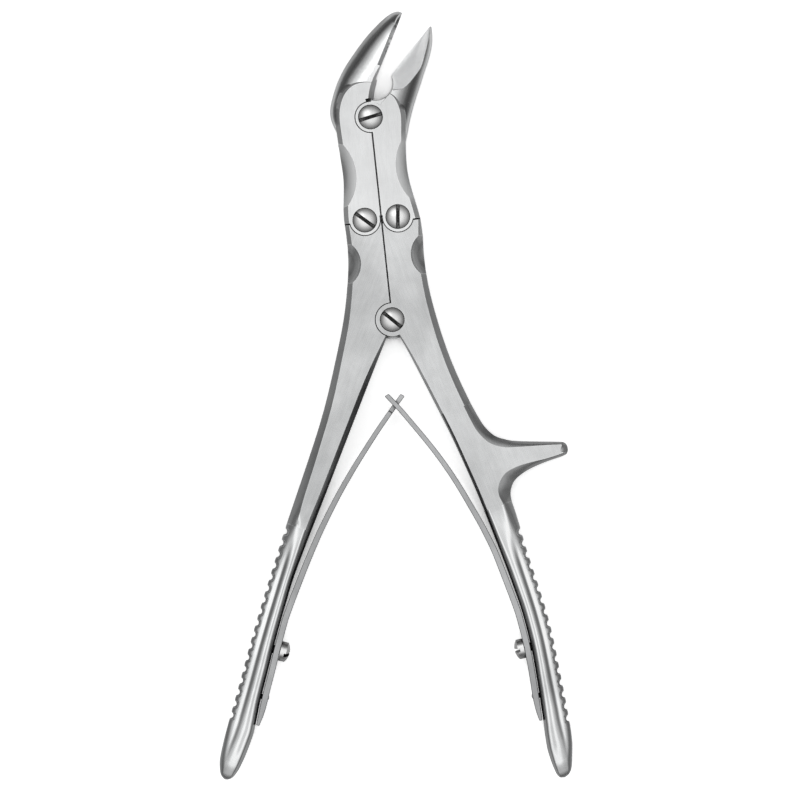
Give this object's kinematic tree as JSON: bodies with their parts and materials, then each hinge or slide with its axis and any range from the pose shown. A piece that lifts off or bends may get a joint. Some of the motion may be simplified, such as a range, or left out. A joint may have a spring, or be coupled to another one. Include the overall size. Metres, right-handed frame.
{
  "type": "double-action bone rongeur",
  "caption": "Double-action bone rongeur lying open, with angled cup jaws, scalloped grips, a finger spur and crossed leaf springs.",
  "frame": {"origin": "axis of the handle pivot, at the underside of the box joint, which is the plane the instrument lies on", "axes": "+Y along the middle line between the handles, towards the jaws; +X towards the side with the finger spur; +Z out of the front face, where the screw heads are"},
  "size_m": [0.1237, 0.269, 0.0131],
  "materials": {
    "satin_steel": "satin",
    "screw_steel": "polished",
    "spring_steel": "drawn"
  },
  "bodies": {
    "handle_right": {"handle_right": "satin_steel", "link_screw_right": "screw_steel", "spring_right": "spring_steel", "spring_screw_right": "screw_steel", "spring_pin_right": "screw_steel"},
    "handle_left": {"handle_left": "satin_steel", "link_screw_left": "screw_steel", "handle_pivot_screw": "screw_steel", "spring_left": "spring_steel", "spring_screw_left": "screw_steel", "spring_pin_left": "screw_steel"},
    "jaw_left": {"jaw_left": "satin_steel", "jaw_pivot_screw": "screw_steel"},
    "jaw_right": {"jaw_right": "satin_steel"}
  },
  "joints": [
    {"name": "handle_squeeze", "type": "hinge", "parent": "handle_right", "child": "handle_left", "pos_m": [0, 0, 0.006], "axis": [0, 0, 1], "range_deg": [0, 16], "stiffness_Nm_per_rad": 6, "springref_deg": -5.73, "deforming": ["spring_left", "spring_right"]},
    {"name": "jaw_left_link", "type": "hinge", "parent": "handle_left", "child": "jaw_left", "pos_m": [-0.00957, 0.03482, 0.006], "axis": [0, 0, 1], "range_deg": [-16, 0]},
    {"name": "jaw_right_link", "type": "hinge", "parent": "handle_right", "child": "jaw_right", "pos_m": [0.00197, 0.03606, 0.006], "axis": [0, 0, 1], "range_deg": [0, 16]}
  ],
  "couplings": [
    {"joint": "jaw_left_link", "follows": "handle_squeeze", "ratio": -1},
    {"joint": "jaw_right_link", "follows": "handle_squeeze", "ratio": 1}
  ]
}
